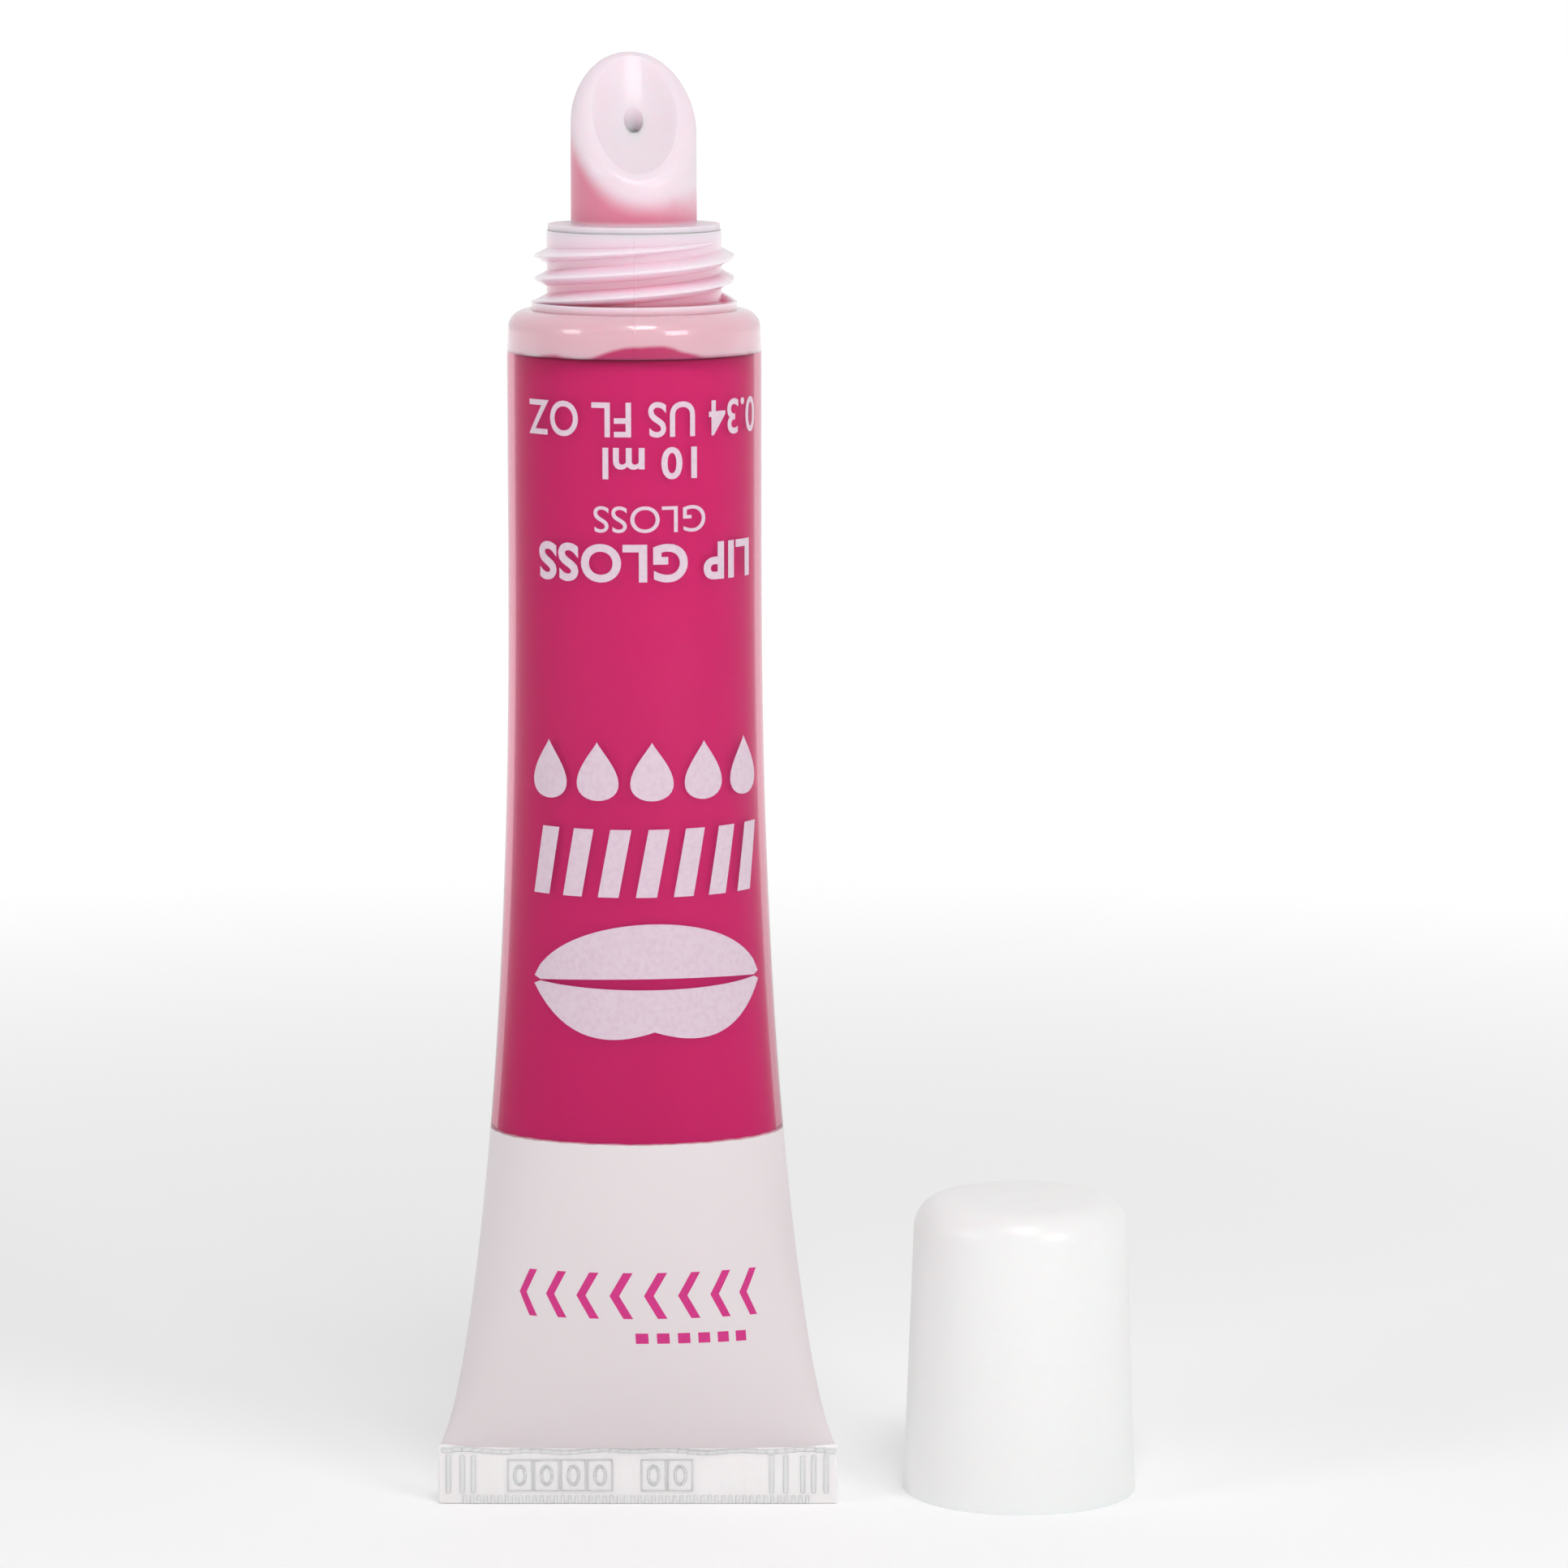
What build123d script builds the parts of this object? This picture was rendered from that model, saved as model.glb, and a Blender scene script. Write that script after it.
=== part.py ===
from build123d import *
import os
from math import atan, cos, degrees, hypot, pi, radians, sin, sqrt

# A 10 ml squeeze tube of lip gloss, standing on its crimped foot, with its screw cap beside it.
# Millimetres, +Z up. The origin is the centre of the crimp's foot: the crimp runs along X, the
# printed front faces -Y, and the tube's axis is the Z axis.

# ---- Sleeve: an extruded tube, pressed flat and welded shut at the foot
TUBE_R = 8.0               # outside radius where it is round
WALL = 0.45
CRIMP_T = 0.9              # two walls melted into one flat band
CRIMP_H = 3.6              # where the walls leave the band
CRIMP_W = 25.72
CRIMP_LIP = 0.3            # how far the band reaches up over the walls
CRIMP_STRETCH = 0.022      # how much the press draws the wall out sideways at the weld
CRIMP_CORNER_R = 0.35
STRETCH_FADE = 40.0        # how quickly that stretch dies away above the weld
ROUND_Z = 64.0             # from here up the section is a circle
BOW_POWER = 2.4            # how soon the walls part above the weld: 2 would be a quarter circle
SLEEVE_TOP = 74.3
OPENING = 0.004            # starts the bow a little way in, where its slope is finite
OUTER_EDGE_R = 0.3         # rounding of the section's two side edges
INNER_EDGE_R = 0.2
CAVITY_FOOT = 5.0          # the two walls stay fused a little way above the crimp
SECTIONS = 10              # loft sections up the taper
STRAIGHT_LEAD = 3.0        # the loft runs this far into the straight run, so that they meet smoothly
SECTION_POINTS = 24
FOOT_HALF_DEPTH = 0.36     # of the taper where it starts, buried in the band

# ---- Head: one moulding of skirt, shoulder and threaded neck, welded into the sleeve
SKIRT_H = 1.7
SKIRT_WALL = 0.6
SHOULDER_TOP = 76.9
SHOULDER_R = 1.2           # rounding of the shoulder's rim
SHOULDER_RIM_R = 7.9
SHOULDER_WALL = 1.1
BEAD_R = 6.47              # stop bead at the foot of the neck, inside the cap's mouth
BEAD_H = 0.5
NECK_R = 5.5
NECK_TOP = 81.85
NECK_BORE_R = 4.25

# ---- Screw thread: two starts, right-handed
THREAD_R = 6.3             # radius over the ridges
THREAD_STARTS = 2
THREAD_PITCH = 1.43        # from one ridge to the next
THREAD_LEAD = THREAD_PITCH * THREAD_STARTS
RIDGE_ROOT_W = 1.1
RIDGE_CREST_W = 0.16
RIDGE_ROOT_DEPTH = 0.1     # how far a ridge is rooted in its wall
THREAD_FOOT = 77.37        # height of each ridge's lower end
THREAD_TURNS = 1.0
RUN_OUT_TURNS = 0.35       # beyond its last turn a ridge sinks into the neck

# ---- Applicator: a hollow insert pressed into the neck, with a slanted, dished face
TIP_R = 3.95
TIP_FACE_Z = 89.9          # height at which the slanted face crosses the axis
TIP_SLOPE = 52.0           # degrees of the slanted face above the horizontal
TIP_TURN = 7.0             # degrees that the face is turned from the front towards +X
TIP_EDGE_R = 1.1           # rounding all round the slanted face
TIP_BORE_R = 3.1
TIP_FACE_WALL = 2.8        # plastic between the bore and the slanted face, measured upright
FLANGE_R = 5.4
FLANGE_T = 0.4
PLUG_DEPTH = 4.6
DISH_HALF_W = 2.65         # the dish is a shallow spoon: half its width, depth, and length over width
DISH_DEPTH = 0.75
DISH_STRETCH = 1.75
DISH_SHIFT = 1.0           # how far its centre lies down the slope from the axis
ORIFICE_R = 0.6

# ---- Contents
FILL_FOOT = 6.0
FILL_TOP = 75.1
FILL_GAP = 0.05            # film of air between the gloss and the plastic
FILL_TIP_WALL = 0.4        # how far below the bore's slanted end the gloss stops

# ---- Cap: one moulding, open end down, standing behind and to the right of the crimp
CAP_X, CAP_Y = 24.7, 4.2
CAP_H = 19.2
CAP_MOUTH_R = 7.54
CAP_TOP_R = 6.9            # where the tapered side ends
CAP_EDGE_R = 1.95          # rounding of the top edge
CAP_SIDE_H = 17.2          # height at which the tapered side ends
CAP_THREAD_BORE_R = 6.6
CAP_THREAD_BORE_H = 5.4
CAP_BORE_R = 5.6
CAP_CEILING = 17.6
DIMPLE_R = 1.8             # mark of the moulding gate
DIMPLE_DEPTH = 0.18
CAP_RIDGE_R = 5.86         # radius inside the cap's own ridges
CAP_RIDGE_ROOT_W = 1.0
CAP_THREAD_FOOT = 1.4
CAP_THREAD_TURNS = 0.9


def ellipse_perimeter(a, b):
    h = ((a - b) / (a + b)) ** 2
    return pi * (a + b) * (1 + 3 * h / (10 + sqrt(4 - 3 * h)))


def half_width(half_depth, perimeter):
    """The ellipse half width that goes with a half depth, because the wall's girth hardly changes."""
    low, high = perimeter / 8, perimeter / 3
    for _ in range(50):
        middle = (low + high) / 2
        if ellipse_perimeter(middle, half_depth) < perimeter:
            low = middle
        else:
            high = middle
    return low


def bow(rise):
    """A quarter of a superellipse from flat to round, started a little way in."""
    return (1 - (1 - (rise + OPENING) / (1 + OPENING)) ** BOW_POWER) ** (1 / BOW_POWER)


def sleeve_size(z):
    """(half width, half depth) of the sleeve's outside at height z: flat at the weld, round above."""
    rise = min(1.0, max(0.0, (z - CRIMP_H) / (ROUND_Z - CRIMP_H)))
    opened = (bow(rise) - bow(0)) / (1 - bow(0))
    half_depth = FOOT_HALF_DEPTH + (TUBE_R - FOOT_HALF_DEPTH) * opened
    girth = 2 * pi * TUBE_R * (1 + CRIMP_STRETCH * (1 - rise) ** STRETCH_FADE)
    return half_width(half_depth, girth), half_depth


def sleeve_section(z, inset, edge_r):
    """The sleeve's section at height z, drawn in by inset: an ellipse grown by edge_r, so that its
    side edges are never sharper than that."""
    a, b = [half - inset - edge_r for half in sleeve_size(z)]
    points = []
    for k in range(SECTION_POINTS):
        turn = 2 * pi * (k + 0.5) / SECTION_POINTS
        across, along = b * cos(turn), a * sin(turn)
        reach = edge_r / hypot(across, along)
        points.append((a * cos(turn) + reach * across, b * sin(turn) + reach * along, z))
    return make_face(Spline(*points, periodic=True))


def sleeve_form(inset, edge_r, z_low, z_high):
    """A solid of the sleeve's shape from z_low to z_high: the taper, then the straight run."""
    levels = [z_low + (ROUND_Z - z_low) * (k / SECTIONS) ** 2 for k in range(SECTIONS + 1)]
    levels.append(ROUND_Z + STRAIGHT_LEAD)
    faces = [sleeve_section(z, inset, edge_r) for z in levels]
    return loft(faces) + extrude(faces[-1], amount=z_high - levels[-1])


def outline(*corners):
    """A closed outline from (radius, height) corners, in the plane of X and Z."""
    return Polyline(*[(r, 0, z) for r, z in corners], close=True)


def spun(*corners):
    """A solid of revolution about Z from (radius, height) corners."""
    return revolve(make_face(outline(*corners)), Axis.Z)


def ring_edges(solid, radius, height):
    """The circular edges about Z at this radius and height."""
    def fits(edge):
        middle = edge @ 0.5
        return abs(hypot(middle.X, middle.Y) - radius) < 0.01 and abs(middle.Z - height) < 0.01
    return [edge for edge in solid.edges() if fits(edge)]


def ridge(root_r, crest_r, root_w, turns, sink=0.0):
    """One thread ridge from height 0, swept along a helix that may sink inwards by its end."""
    rise = THREAD_LEAD * turns
    helix = Helix(THREAD_LEAD, rise, (root_r + crest_r) / 2, cone_angle=-degrees(atan(sink / rise)))
    begin = helix @ 0
    plane = Plane(begin, x_dir=(1, 0, 0), z_dir=helix % 0)
    corners = [(root_r, -root_w / 2), (crest_r, -RIDGE_CREST_W / 2),
               (crest_r, RIDGE_CREST_W / 2), (root_r, root_w / 2)]
    section = plane * make_face(Polyline(*[(r - begin.X, h) for r, h in corners], close=True))
    return sweep(section, path=helix, is_frenet=True)


def for_each_start(solid, foot):
    """A thread ridge repeated for each start of the thread, with its lower end at this height."""
    turns = [Rot(0, 0, 360 * start / THREAD_STARTS) for start in range(THREAD_STARTS)]
    return [Pos(0, 0, foot) * turn * solid for turn in turns]


def on_slope(z, solid):
    """A solid moved from the plane of X and Y to the slanted plane that crosses the axis at z."""
    return Pos(0, 0, z) * Rot(0, 0, TIP_TURN) * Rot(TIP_SLOPE, 0, 0) * solid


def slanted_rod(radius, z_low, z_axis):
    """An upright rod cut off by a slanted plane that crosses the axis at z_axis."""
    length = z_axis - z_low + 3 * radius
    above = on_slope(z_axis, Pos(0, 0, length / 2) * Box(3 * length, 3 * length, length))
    return Pos(0, 0, z_low) * extrude(Circle(radius), length) - above


def make_sleeve():
    band_h = CRIMP_H + CRIMP_LIP
    band = Pos(0, 0, band_h / 2) * Box(CRIMP_W, CRIMP_T, band_h)
    band = fillet(band.edges().filter_by(Axis.Z), CRIMP_CORNER_R)
    cavity = sleeve_form(WALL, INNER_EDGE_R, CAVITY_FOOT, SLEEVE_TOP)
    return sleeve_form(0, OUTER_EDGE_R, CRIMP_H, SLEEVE_TOP) + band - cavity


def make_head():
    skirt_r = TUBE_R - WALL - FILL_GAP
    inner_r = skirt_r - SKIRT_WALL
    under = SHOULDER_TOP - SHOULDER_WALL
    body = spun(
        (inner_r, SLEEVE_TOP - SKIRT_H), (skirt_r, SLEEVE_TOP - SKIRT_H), (skirt_r, SLEEVE_TOP),
        (TUBE_R, SLEEVE_TOP), (SHOULDER_RIM_R, SHOULDER_TOP), (BEAD_R, SHOULDER_TOP),
        (BEAD_R, SHOULDER_TOP + BEAD_H), (NECK_R, SHOULDER_TOP + BEAD_H), (NECK_R, NECK_TOP),
        (NECK_BORE_R, NECK_TOP), (NECK_BORE_R, under), (inner_r, under))
    body = fillet(ring_edges(body, SHOULDER_RIM_R, SHOULDER_TOP), SHOULDER_R)
    body = fillet(ring_edges(body, inner_r, under), SHOULDER_R / 2)
    root_r = NECK_R - RIDGE_ROOT_DEPTH
    full = ridge(root_r, THREAD_R, RIDGE_ROOT_W, THREAD_TURNS)
    run_out = ridge(root_r, THREAD_R, RIDGE_ROOT_W, RUN_OUT_TURNS, sink=THREAD_R - NECK_R)
    top = THREAD_FOOT + THREAD_LEAD * THREAD_TURNS
    for piece in for_each_start(full, THREAD_FOOT) + for_each_start(run_out, top):
        body += piece
    return body


def make_applicator():
    flange_top = NECK_TOP + FLANGE_T
    plug_foot = NECK_TOP - PLUG_DEPTH
    core_z = TIP_FACE_Z - TIP_EDGE_R / cos(radians(TIP_SLOPE))
    core = slanted_rod(TIP_R - TIP_EDGE_R, plug_foot, core_z)
    barrel = offset(core, amount=TIP_EDGE_R, kind=Kind.ARC)
    barrel -= Pos(0, 0, flange_top / 2) * Box(3 * TIP_R, 3 * TIP_R, flange_top)
    curve_r = (DISH_HALF_W ** 2 + DISH_DEPTH ** 2) / (2 * DISH_DEPTH)
    spoon = scale(Sphere(curve_r), by=(1, DISH_STRETCH, 1))
    barrel -= on_slope(TIP_FACE_Z, Pos(0, -DISH_SHIFT, curve_r - DISH_DEPTH) * spoon)
    collar = spun((0, plug_foot), (NECK_BORE_R, plug_foot), (NECK_BORE_R, NECK_TOP),
                  (FLANGE_R, NECK_TOP), (FLANGE_R, flange_top), (0, flange_top))
    bore = slanted_rod(TIP_BORE_R, plug_foot, TIP_FACE_Z - TIP_FACE_WALL)
    orifice = Pos(0, 0, plug_foot) * extrude(Circle(ORIFICE_R), TIP_FACE_Z)
    return barrel + collar - bore - orifice


def make_gloss():
    """The contents: the body of gloss, and the column that stands in the neck and the applicator."""
    inset = WALL + FILL_GAP
    top_r = TUBE_R - WALL - SKIRT_WALL - 2 * FILL_GAP
    foot = SLEEVE_TOP - SKIRT_H - FILL_GAP
    body = sleeve_form(inset, INNER_EDGE_R, FILL_FOOT, foot)
    body += Pos(0, 0, foot) * extrude(Circle(top_r), FILL_TOP - foot)
    return body + slanted_rod(TIP_BORE_R - FILL_GAP, foot, TIP_FACE_Z - TIP_FACE_WALL - FILL_TIP_WALL)


def make_cap():
    body = spun((0, 0), (CAP_MOUTH_R, 0), (CAP_TOP_R, CAP_SIDE_H), (CAP_TOP_R, CAP_H), (0, CAP_H))
    body = fillet(ring_edges(body, CAP_TOP_R, CAP_H), CAP_EDGE_R)
    body -= spun((0, 0), (CAP_THREAD_BORE_R, 0), (CAP_THREAD_BORE_R, CAP_THREAD_BORE_H),
                 (CAP_BORE_R, CAP_THREAD_BORE_H + CAP_THREAD_BORE_R - CAP_BORE_R),
                 (CAP_BORE_R, CAP_CEILING), (0, CAP_CEILING))
    dimple_r = (DIMPLE_R ** 2 + DIMPLE_DEPTH ** 2) / (2 * DIMPLE_DEPTH)
    body -= Pos(0, 0, CAP_H + dimple_r - DIMPLE_DEPTH) * Sphere(dimple_r)
    root_r = CAP_THREAD_BORE_R + RIDGE_ROOT_DEPTH
    inner = ridge(root_r, CAP_RIDGE_R, CAP_RIDGE_ROOT_W, CAP_THREAD_TURNS)
    for piece in for_each_start(inner, CAP_THREAD_FOOT):
        body += piece
    return Pos(CAP_X, CAP_Y, 0) * body


PARTS = {
    "tube_sleeve": make_sleeve,
    "threaded_head": make_head,
    "applicator_tip": make_applicator,
    "gloss_fill": make_gloss,
    "screw_cap": make_cap,
}


def main():
    os.makedirs("parts", exist_ok=True)
    for name, make in PARTS.items():
        solid = make()
        export_step(solid, f"parts/{name}.step")
        print(name, round(solid.volume, 1), "mm3")


main()
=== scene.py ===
# %% [markdown]
# # A lip gloss tube and its cap
# A clear plastic sleeve full of magenta gloss stands on its welded foot, with its white screw cap
# beside it. The solid model is loaded first and stays as it is: its boxes say where everything
# goes. The head, the applicator and the cap keep their solid shapes and get better materials. The
# sleeve and the gloss are modelled again here, because their look depends on thin walls.

# %% Load the solid model
from math import cos, pi, radians, sin, sqrt

import bmesh
import bpy
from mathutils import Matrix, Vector


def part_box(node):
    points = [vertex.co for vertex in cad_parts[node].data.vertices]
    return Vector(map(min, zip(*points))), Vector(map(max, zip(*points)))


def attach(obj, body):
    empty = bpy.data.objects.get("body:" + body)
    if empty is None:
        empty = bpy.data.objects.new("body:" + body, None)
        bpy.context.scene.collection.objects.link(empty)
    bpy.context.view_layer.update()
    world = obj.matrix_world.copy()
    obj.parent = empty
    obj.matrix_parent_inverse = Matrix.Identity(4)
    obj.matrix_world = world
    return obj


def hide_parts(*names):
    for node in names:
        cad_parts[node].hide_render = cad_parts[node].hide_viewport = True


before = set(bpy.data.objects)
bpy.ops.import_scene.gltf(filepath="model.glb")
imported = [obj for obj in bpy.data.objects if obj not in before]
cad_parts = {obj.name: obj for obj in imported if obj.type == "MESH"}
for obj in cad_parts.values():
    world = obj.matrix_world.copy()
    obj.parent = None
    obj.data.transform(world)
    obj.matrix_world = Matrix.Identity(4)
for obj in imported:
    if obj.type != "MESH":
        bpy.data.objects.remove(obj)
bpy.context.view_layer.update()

MM = 0.001
print("nodes:", sorted(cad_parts))

# %% [markdown]
# The camera comes first, so that every later step can be judged through it. A long lens from about
# forty centimetres gives the gentle perspective of a product picture. It looks slightly down, so
# the printed band's edge shows as a shallow smile and the cap's top as a thin ellipse.

# %% Camera
CAMERA_AT = Vector((9.4, -401.0, 104.5)) * MM
CAMERA_DOWN = 8.19         # degrees below level
LENS = 146.7

camera_data = bpy.data.cameras.new("camera")
camera_data.lens = LENS
camera = bpy.data.objects.new("camera", camera_data)
camera.location = CAMERA_AT
camera.rotation_euler = (radians(90 - CAMERA_DOWN), 0, 0)
bpy.context.scene.collection.objects.link(camera)
bpy.context.scene.camera = camera
print("camera", [round(c, 4) for c in camera.location], "lens", LENS)

# %% [markdown]
# Shader maths reads best as ordinary sums. This small class wraps a socket, so that `1 - mask * 2`
# adds the Math nodes by itself. `rise` is the one to remember: a smooth step from 0 to 1, which
# turns a height or a radius into a soft mask.

# %% Sums of sockets
class Value:
    """A number that varies over a surface, as the output socket of a node."""

    def __init__(self, nodes, socket):
        self.nodes, self.socket = nodes, socket

    def math(self, operation, *values):
        return self.nodes.node("ShaderNodeMath", {"operation": operation}, dict(enumerate(values)))

    def __add__(self, other):
        return self.math("ADD", self, other)

    def __sub__(self, other):
        return self.math("SUBTRACT", self, other)

    def __rsub__(self, other):
        return self.math("SUBTRACT", other, self)

    def __mul__(self, other):
        return self.math("MULTIPLY", self, other)

    def __truediv__(self, other):
        return self.math("DIVIDE", self, other)

    __radd__ = __add__
    __rmul__ = __mul__

    def size(self):
        return self.math("ABSOLUTE", self)

    def root(self):
        return self.math("SQRT", self)

    def rise(self, low, high):
        """0 below low, 1 above high, and a smooth step between them."""
        return self.nodes.node("ShaderNodeMapRange", {"interpolation_type": "SMOOTHSTEP"},
                               {0: self, 1: low, 2: high})

    def line(self, low, high, first, last):
        """Straight from first to last as this goes from low to high."""
        return self.nodes.node("ShaderNodeMapRange", {}, {0: self, 1: low, 2: high, 3: first, 4: last})


print("a Value knows", [name for name in vars(Value) if not name.startswith("__")])

# %% [markdown]
# Any other node comes from one method, which takes the node's type, its settings and what its
# sockets are given. Colours go through Mix nodes, because a Math node would turn them grey. The
# world has a tree of nodes too, so the method sits in a class of its own, and a material adds its
# surface to it.

# %% Nodes and shaders
class Nodes:
    """A node tree, and one way to add a node of any kind to it."""

    def __init__(self, tree):
        self.tree = tree

    def plug(self, socket, value):
        if isinstance(value, Value):
            self.tree.links.new(value.socket, socket)
        else:
            socket.default_value = value

    def node(self, kind, settings=None, inputs=None, output=0):
        made = self.tree.nodes.new(kind)
        for name, value in (settings or {}).items():
            setattr(made, name, value)
        for name, value in (inputs or {}).items():
            self.plug(made.inputs[name], value)
        return Value(self, made.outputs[output])

    def axes(self, coordinates):
        """The x, y and z of one of the texture coordinates."""
        where = self.node("ShaderNodeTexCoord", output=coordinates)
        split = self.node("ShaderNodeSeparateXYZ", {}, {0: where})
        return [Value(self, out) for out in split.socket.node.outputs]


class Shader(Nodes):
    """A material that starts as one Principled surface."""

    def __init__(self, name, **constants):
        self.material = bpy.data.materials.new(name)
        self.material.use_nodes = True
        super().__init__(self.material.node_tree)
        self.surface = self.tree.nodes["Principled BSDF"]
        for socket, value in constants.items():
            self.surface.inputs[socket.replace("_", " ")].default_value = value

    def place(self):
        """(x, y, z) of a point of the piece, in millimetres."""
        return [axis / MM for axis in self.axes("Object")]

    def noise(self, scale, detail=2.0, stretch=(1, 1, 1)):
        """Noise whose grain is about 1 / scale millimetres, around 0.5."""
        where = self.node("ShaderNodeTexCoord", output="Object")
        grain = [scale / MM * s for s in stretch]
        spread = self.node("ShaderNodeVectorMath", {"operation": "MULTIPLY"}, {0: where, 1: grain})
        return self.node("ShaderNodeTexNoise", {}, {"Vector": spread, "Scale": 1.0, "Detail": detail})

    def blend(self, factor, first, second):
        """A colour that goes from first to second as factor goes from 0 to 1."""
        return self.node("ShaderNodeMix", {"data_type": "RGBA"}, {0: factor, 6: first, 7: second},
                         output=2)

    def colour(self, value):
        self.plug(self.surface.inputs["Base Color"], value)

    def scatter(self, radii, scale_mm):
        """How far red, green and blue light travels inside."""
        self.surface.inputs["Subsurface Radius"].default_value = radii
        self.surface.inputs["Subsurface Scale"].default_value = scale_mm * MM

    def bump(self, height, strength, depth_mm, surface=None):
        made = self.node("ShaderNodeBump", {}, {"Height": height, "Strength": strength,
                                                "Distance": depth_mm * MM})
        self.plug((surface or self.surface).inputs["Normal"], made)

    def tell(self):
        print(self.material.name, "has", len(self.tree.nodes), "nodes")


def rgb(red, green, blue):
    """A colour with its alpha, from red, green and blue in linear light."""
    return (red, green, blue, 1.0)


print("a Shader adds", [name for name in vars(Shader) if not name.startswith("__")])

# %% [markdown]
# The picture is nearly all white: a white room, a pale floor that melts into it, and soft shadows.
# A white world gives the even part of the light. It is darker towards the camera's side, as behind
# a real camera, so that glossy fronts keep their colour and don't mirror a white wall. The camera
# itself sees plain white.

# %% World
WORLD_BACK = 0.85
WORLD_FRONT = 0.16
WORLD_TOP = 0.22
FRONT_TO_BACK = (-0.3, 1.0)    # the part of the way round in which the light grows
LEVEL_TO_TOP = (0.1, 1.0)

world = bpy.data.worlds.new("studio")
world.use_nodes = True
bpy.context.scene.world = world
bpy.context.scene.view_settings.view_transform = "Standard"
room = Nodes(world.node_tree)
_, back, up = room.axes("Generated")
light = back.line(*FRONT_TO_BACK, WORLD_FRONT, WORLD_BACK) + up.line(*LEVEL_TO_TOP, 0.0, WORLD_TOP)
seen = room.node("ShaderNodeLightPath", output="Is Camera Ray")
background = world.node_tree.nodes["Background"]
background.inputs["Color"].default_value = rgb(1.0, 1.0, 1.0)
strength = room.node("ShaderNodeMix", {}, {"Factor": seen, "A": light, "B": 1.0})
room.plug(background.inputs["Strength"], strength)
print("world from", WORLD_FRONT, "in front to", WORLD_BACK, "behind")

# %% [markdown]
# Three large lamps do what softboxes do in a studio. The right one is the strongest, so the tube's
# left side falls off a little and looks round. The left one keeps that side from going dull. The
# one overhead draws the bright highlight on the shoulder. The larger a lamp, the softer its edges.

# %% Lamps
LOOK_AT = Vector((12.0, 0.0, 40.0)) * MM
LAMPS = {                  # place and size in millimetres, and watts
    "lamp_right": ((290, -330, 220), (180, 160), 0.58),
    "lamp_left": ((-380, -230, 230), (150, 150), 0.36),
    "lamp_top": ((40, -200, 340), (120, 130), 0.42),
}


def add_lamp(name, at, size, watts):
    lamp = bpy.data.lights.new(name, "AREA")
    lamp.shape, lamp.size, lamp.size_y, lamp.energy = "RECTANGLE", size[0] * MM, size[1] * MM, watts
    holder = bpy.data.objects.new(name, lamp)
    holder.location = Vector(at) * MM
    holder.rotation_euler = (LOOK_AT - holder.location).to_track_quat("-Z", "Y").to_euler()
    bpy.context.scene.collection.objects.link(holder)


for name, (at, size, watts) in LAMPS.items():
    add_lamp(name, at, size, watts)
    print(name, watts, "W")

# %% [markdown]
# Every new piece is finished in the same way: its faces are turned outwards, its edges are smooth
# unless they turn sharply, and its place stays in its mesh, so that the object itself sits at the
# origin. One function does that for all of them.

# %% Finish a mesh
SHARP = radians(40)


def finished(bm, name, shader, smooth=True):
    """A bmesh made into an object of its own: faces outwards, and smooth except at sharp edges."""
    bmesh.ops.recalc_face_normals(bm, faces=bm.faces)
    for edge in bm.edges:
        edge.smooth = edge.is_manifold and edge.calc_face_angle(0.0) < SHARP
    mesh = bpy.data.meshes.new(name)
    bm.to_mesh(mesh)
    bm.free()
    mesh.polygons.foreach_set("use_smooth", [smooth] * len(mesh.polygons))
    mesh.materials.append(shader.material)
    piece = bpy.data.objects.new(name, mesh)
    bpy.context.scene.collection.objects.link(piece)
    print(name, len(mesh.polygons), "faces")
    return piece


print("edges that turn by", round(SHARP, 2), "radians or more stay sharp")

# %% [markdown]
# The floor is a sheet of white card. Near the object it takes the soft shadows. Further out it
# glows more and more, until it is as white as the room, and no horizon is left to see. The glow
# stays low near the object, because it would wash the shadows out.

# %% Floor
FLOOR_REACH = 3.0          # metres from the middle to each side
FLOOR_WHITE = rgb(0.92, 0.92, 0.92)
FLOOR_GLOW = 0.09
FLOOR_GLOW_FAR = 0.6
GLOW_NEAR, GLOW_FAR = 60.0, 400.0


def floor_shader():
    shader = Shader("floor_paint", Base_Color=FLOOR_WHITE, Roughness=0.8, Specular_IOR_Level=0.1,
                    Emission_Strength=1.0)
    x, y, _ = shader.place()
    far = (x * x + y * y).root().rise(GLOW_NEAR, GLOW_FAR)
    glow = far * (FLOOR_GLOW_FAR - FLOOR_GLOW) + FLOOR_GLOW
    shader.plug(shader.surface.inputs["Emission Color"], shader.blend(glow, rgb(0, 0, 0), rgb(1, 1, 1)))
    return shader


floor_paint = floor_shader()
bm = bmesh.new()
bmesh.ops.create_grid(bm, x_segments=1, y_segments=1, size=FLOOR_REACH)
floor = finished(bm, "floor", floor_paint, smooth=False)

# %% [markdown]
# The sleeve starts as a round tube and ends as a flat weld. Pressing a tube flat hardly changes
# its girth, so at each height the depth follows a quarter of a superellipse and the width is
# whatever keeps the girth. The same two functions place everything that sits on the sleeve.

# %% Sleeve shape
TUBE_R = 8.0
WALL = 0.45
CRIMP_H = 3.6
CRIMP_STRETCH = 0.022      # the press makes the weld's girth this much longer
STRETCH_FADE = 40.0
FOOT_HALF_DEPTH = 0.36
ROUND_Z = 64.0             # round from here up
BOW_POWER = 2.4
OPENING = 0.004
GIRTH_CLOSE = 1e-4
sleeve_top_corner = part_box("tube_sleeve")[1] / MM


def girth_of(a, b):
    """The way round an ellipse, by Ramanujan's formula."""
    h = ((a - b) / (a + b)) ** 2
    return pi * (a + b) * (1 + 3 * h / (10 + sqrt(4 - 3 * h)))


def bow(rise):
    return (1 - (1 - (rise + OPENING) / (1 + OPENING)) ** BOW_POWER) ** (1 / BOW_POWER)


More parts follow.
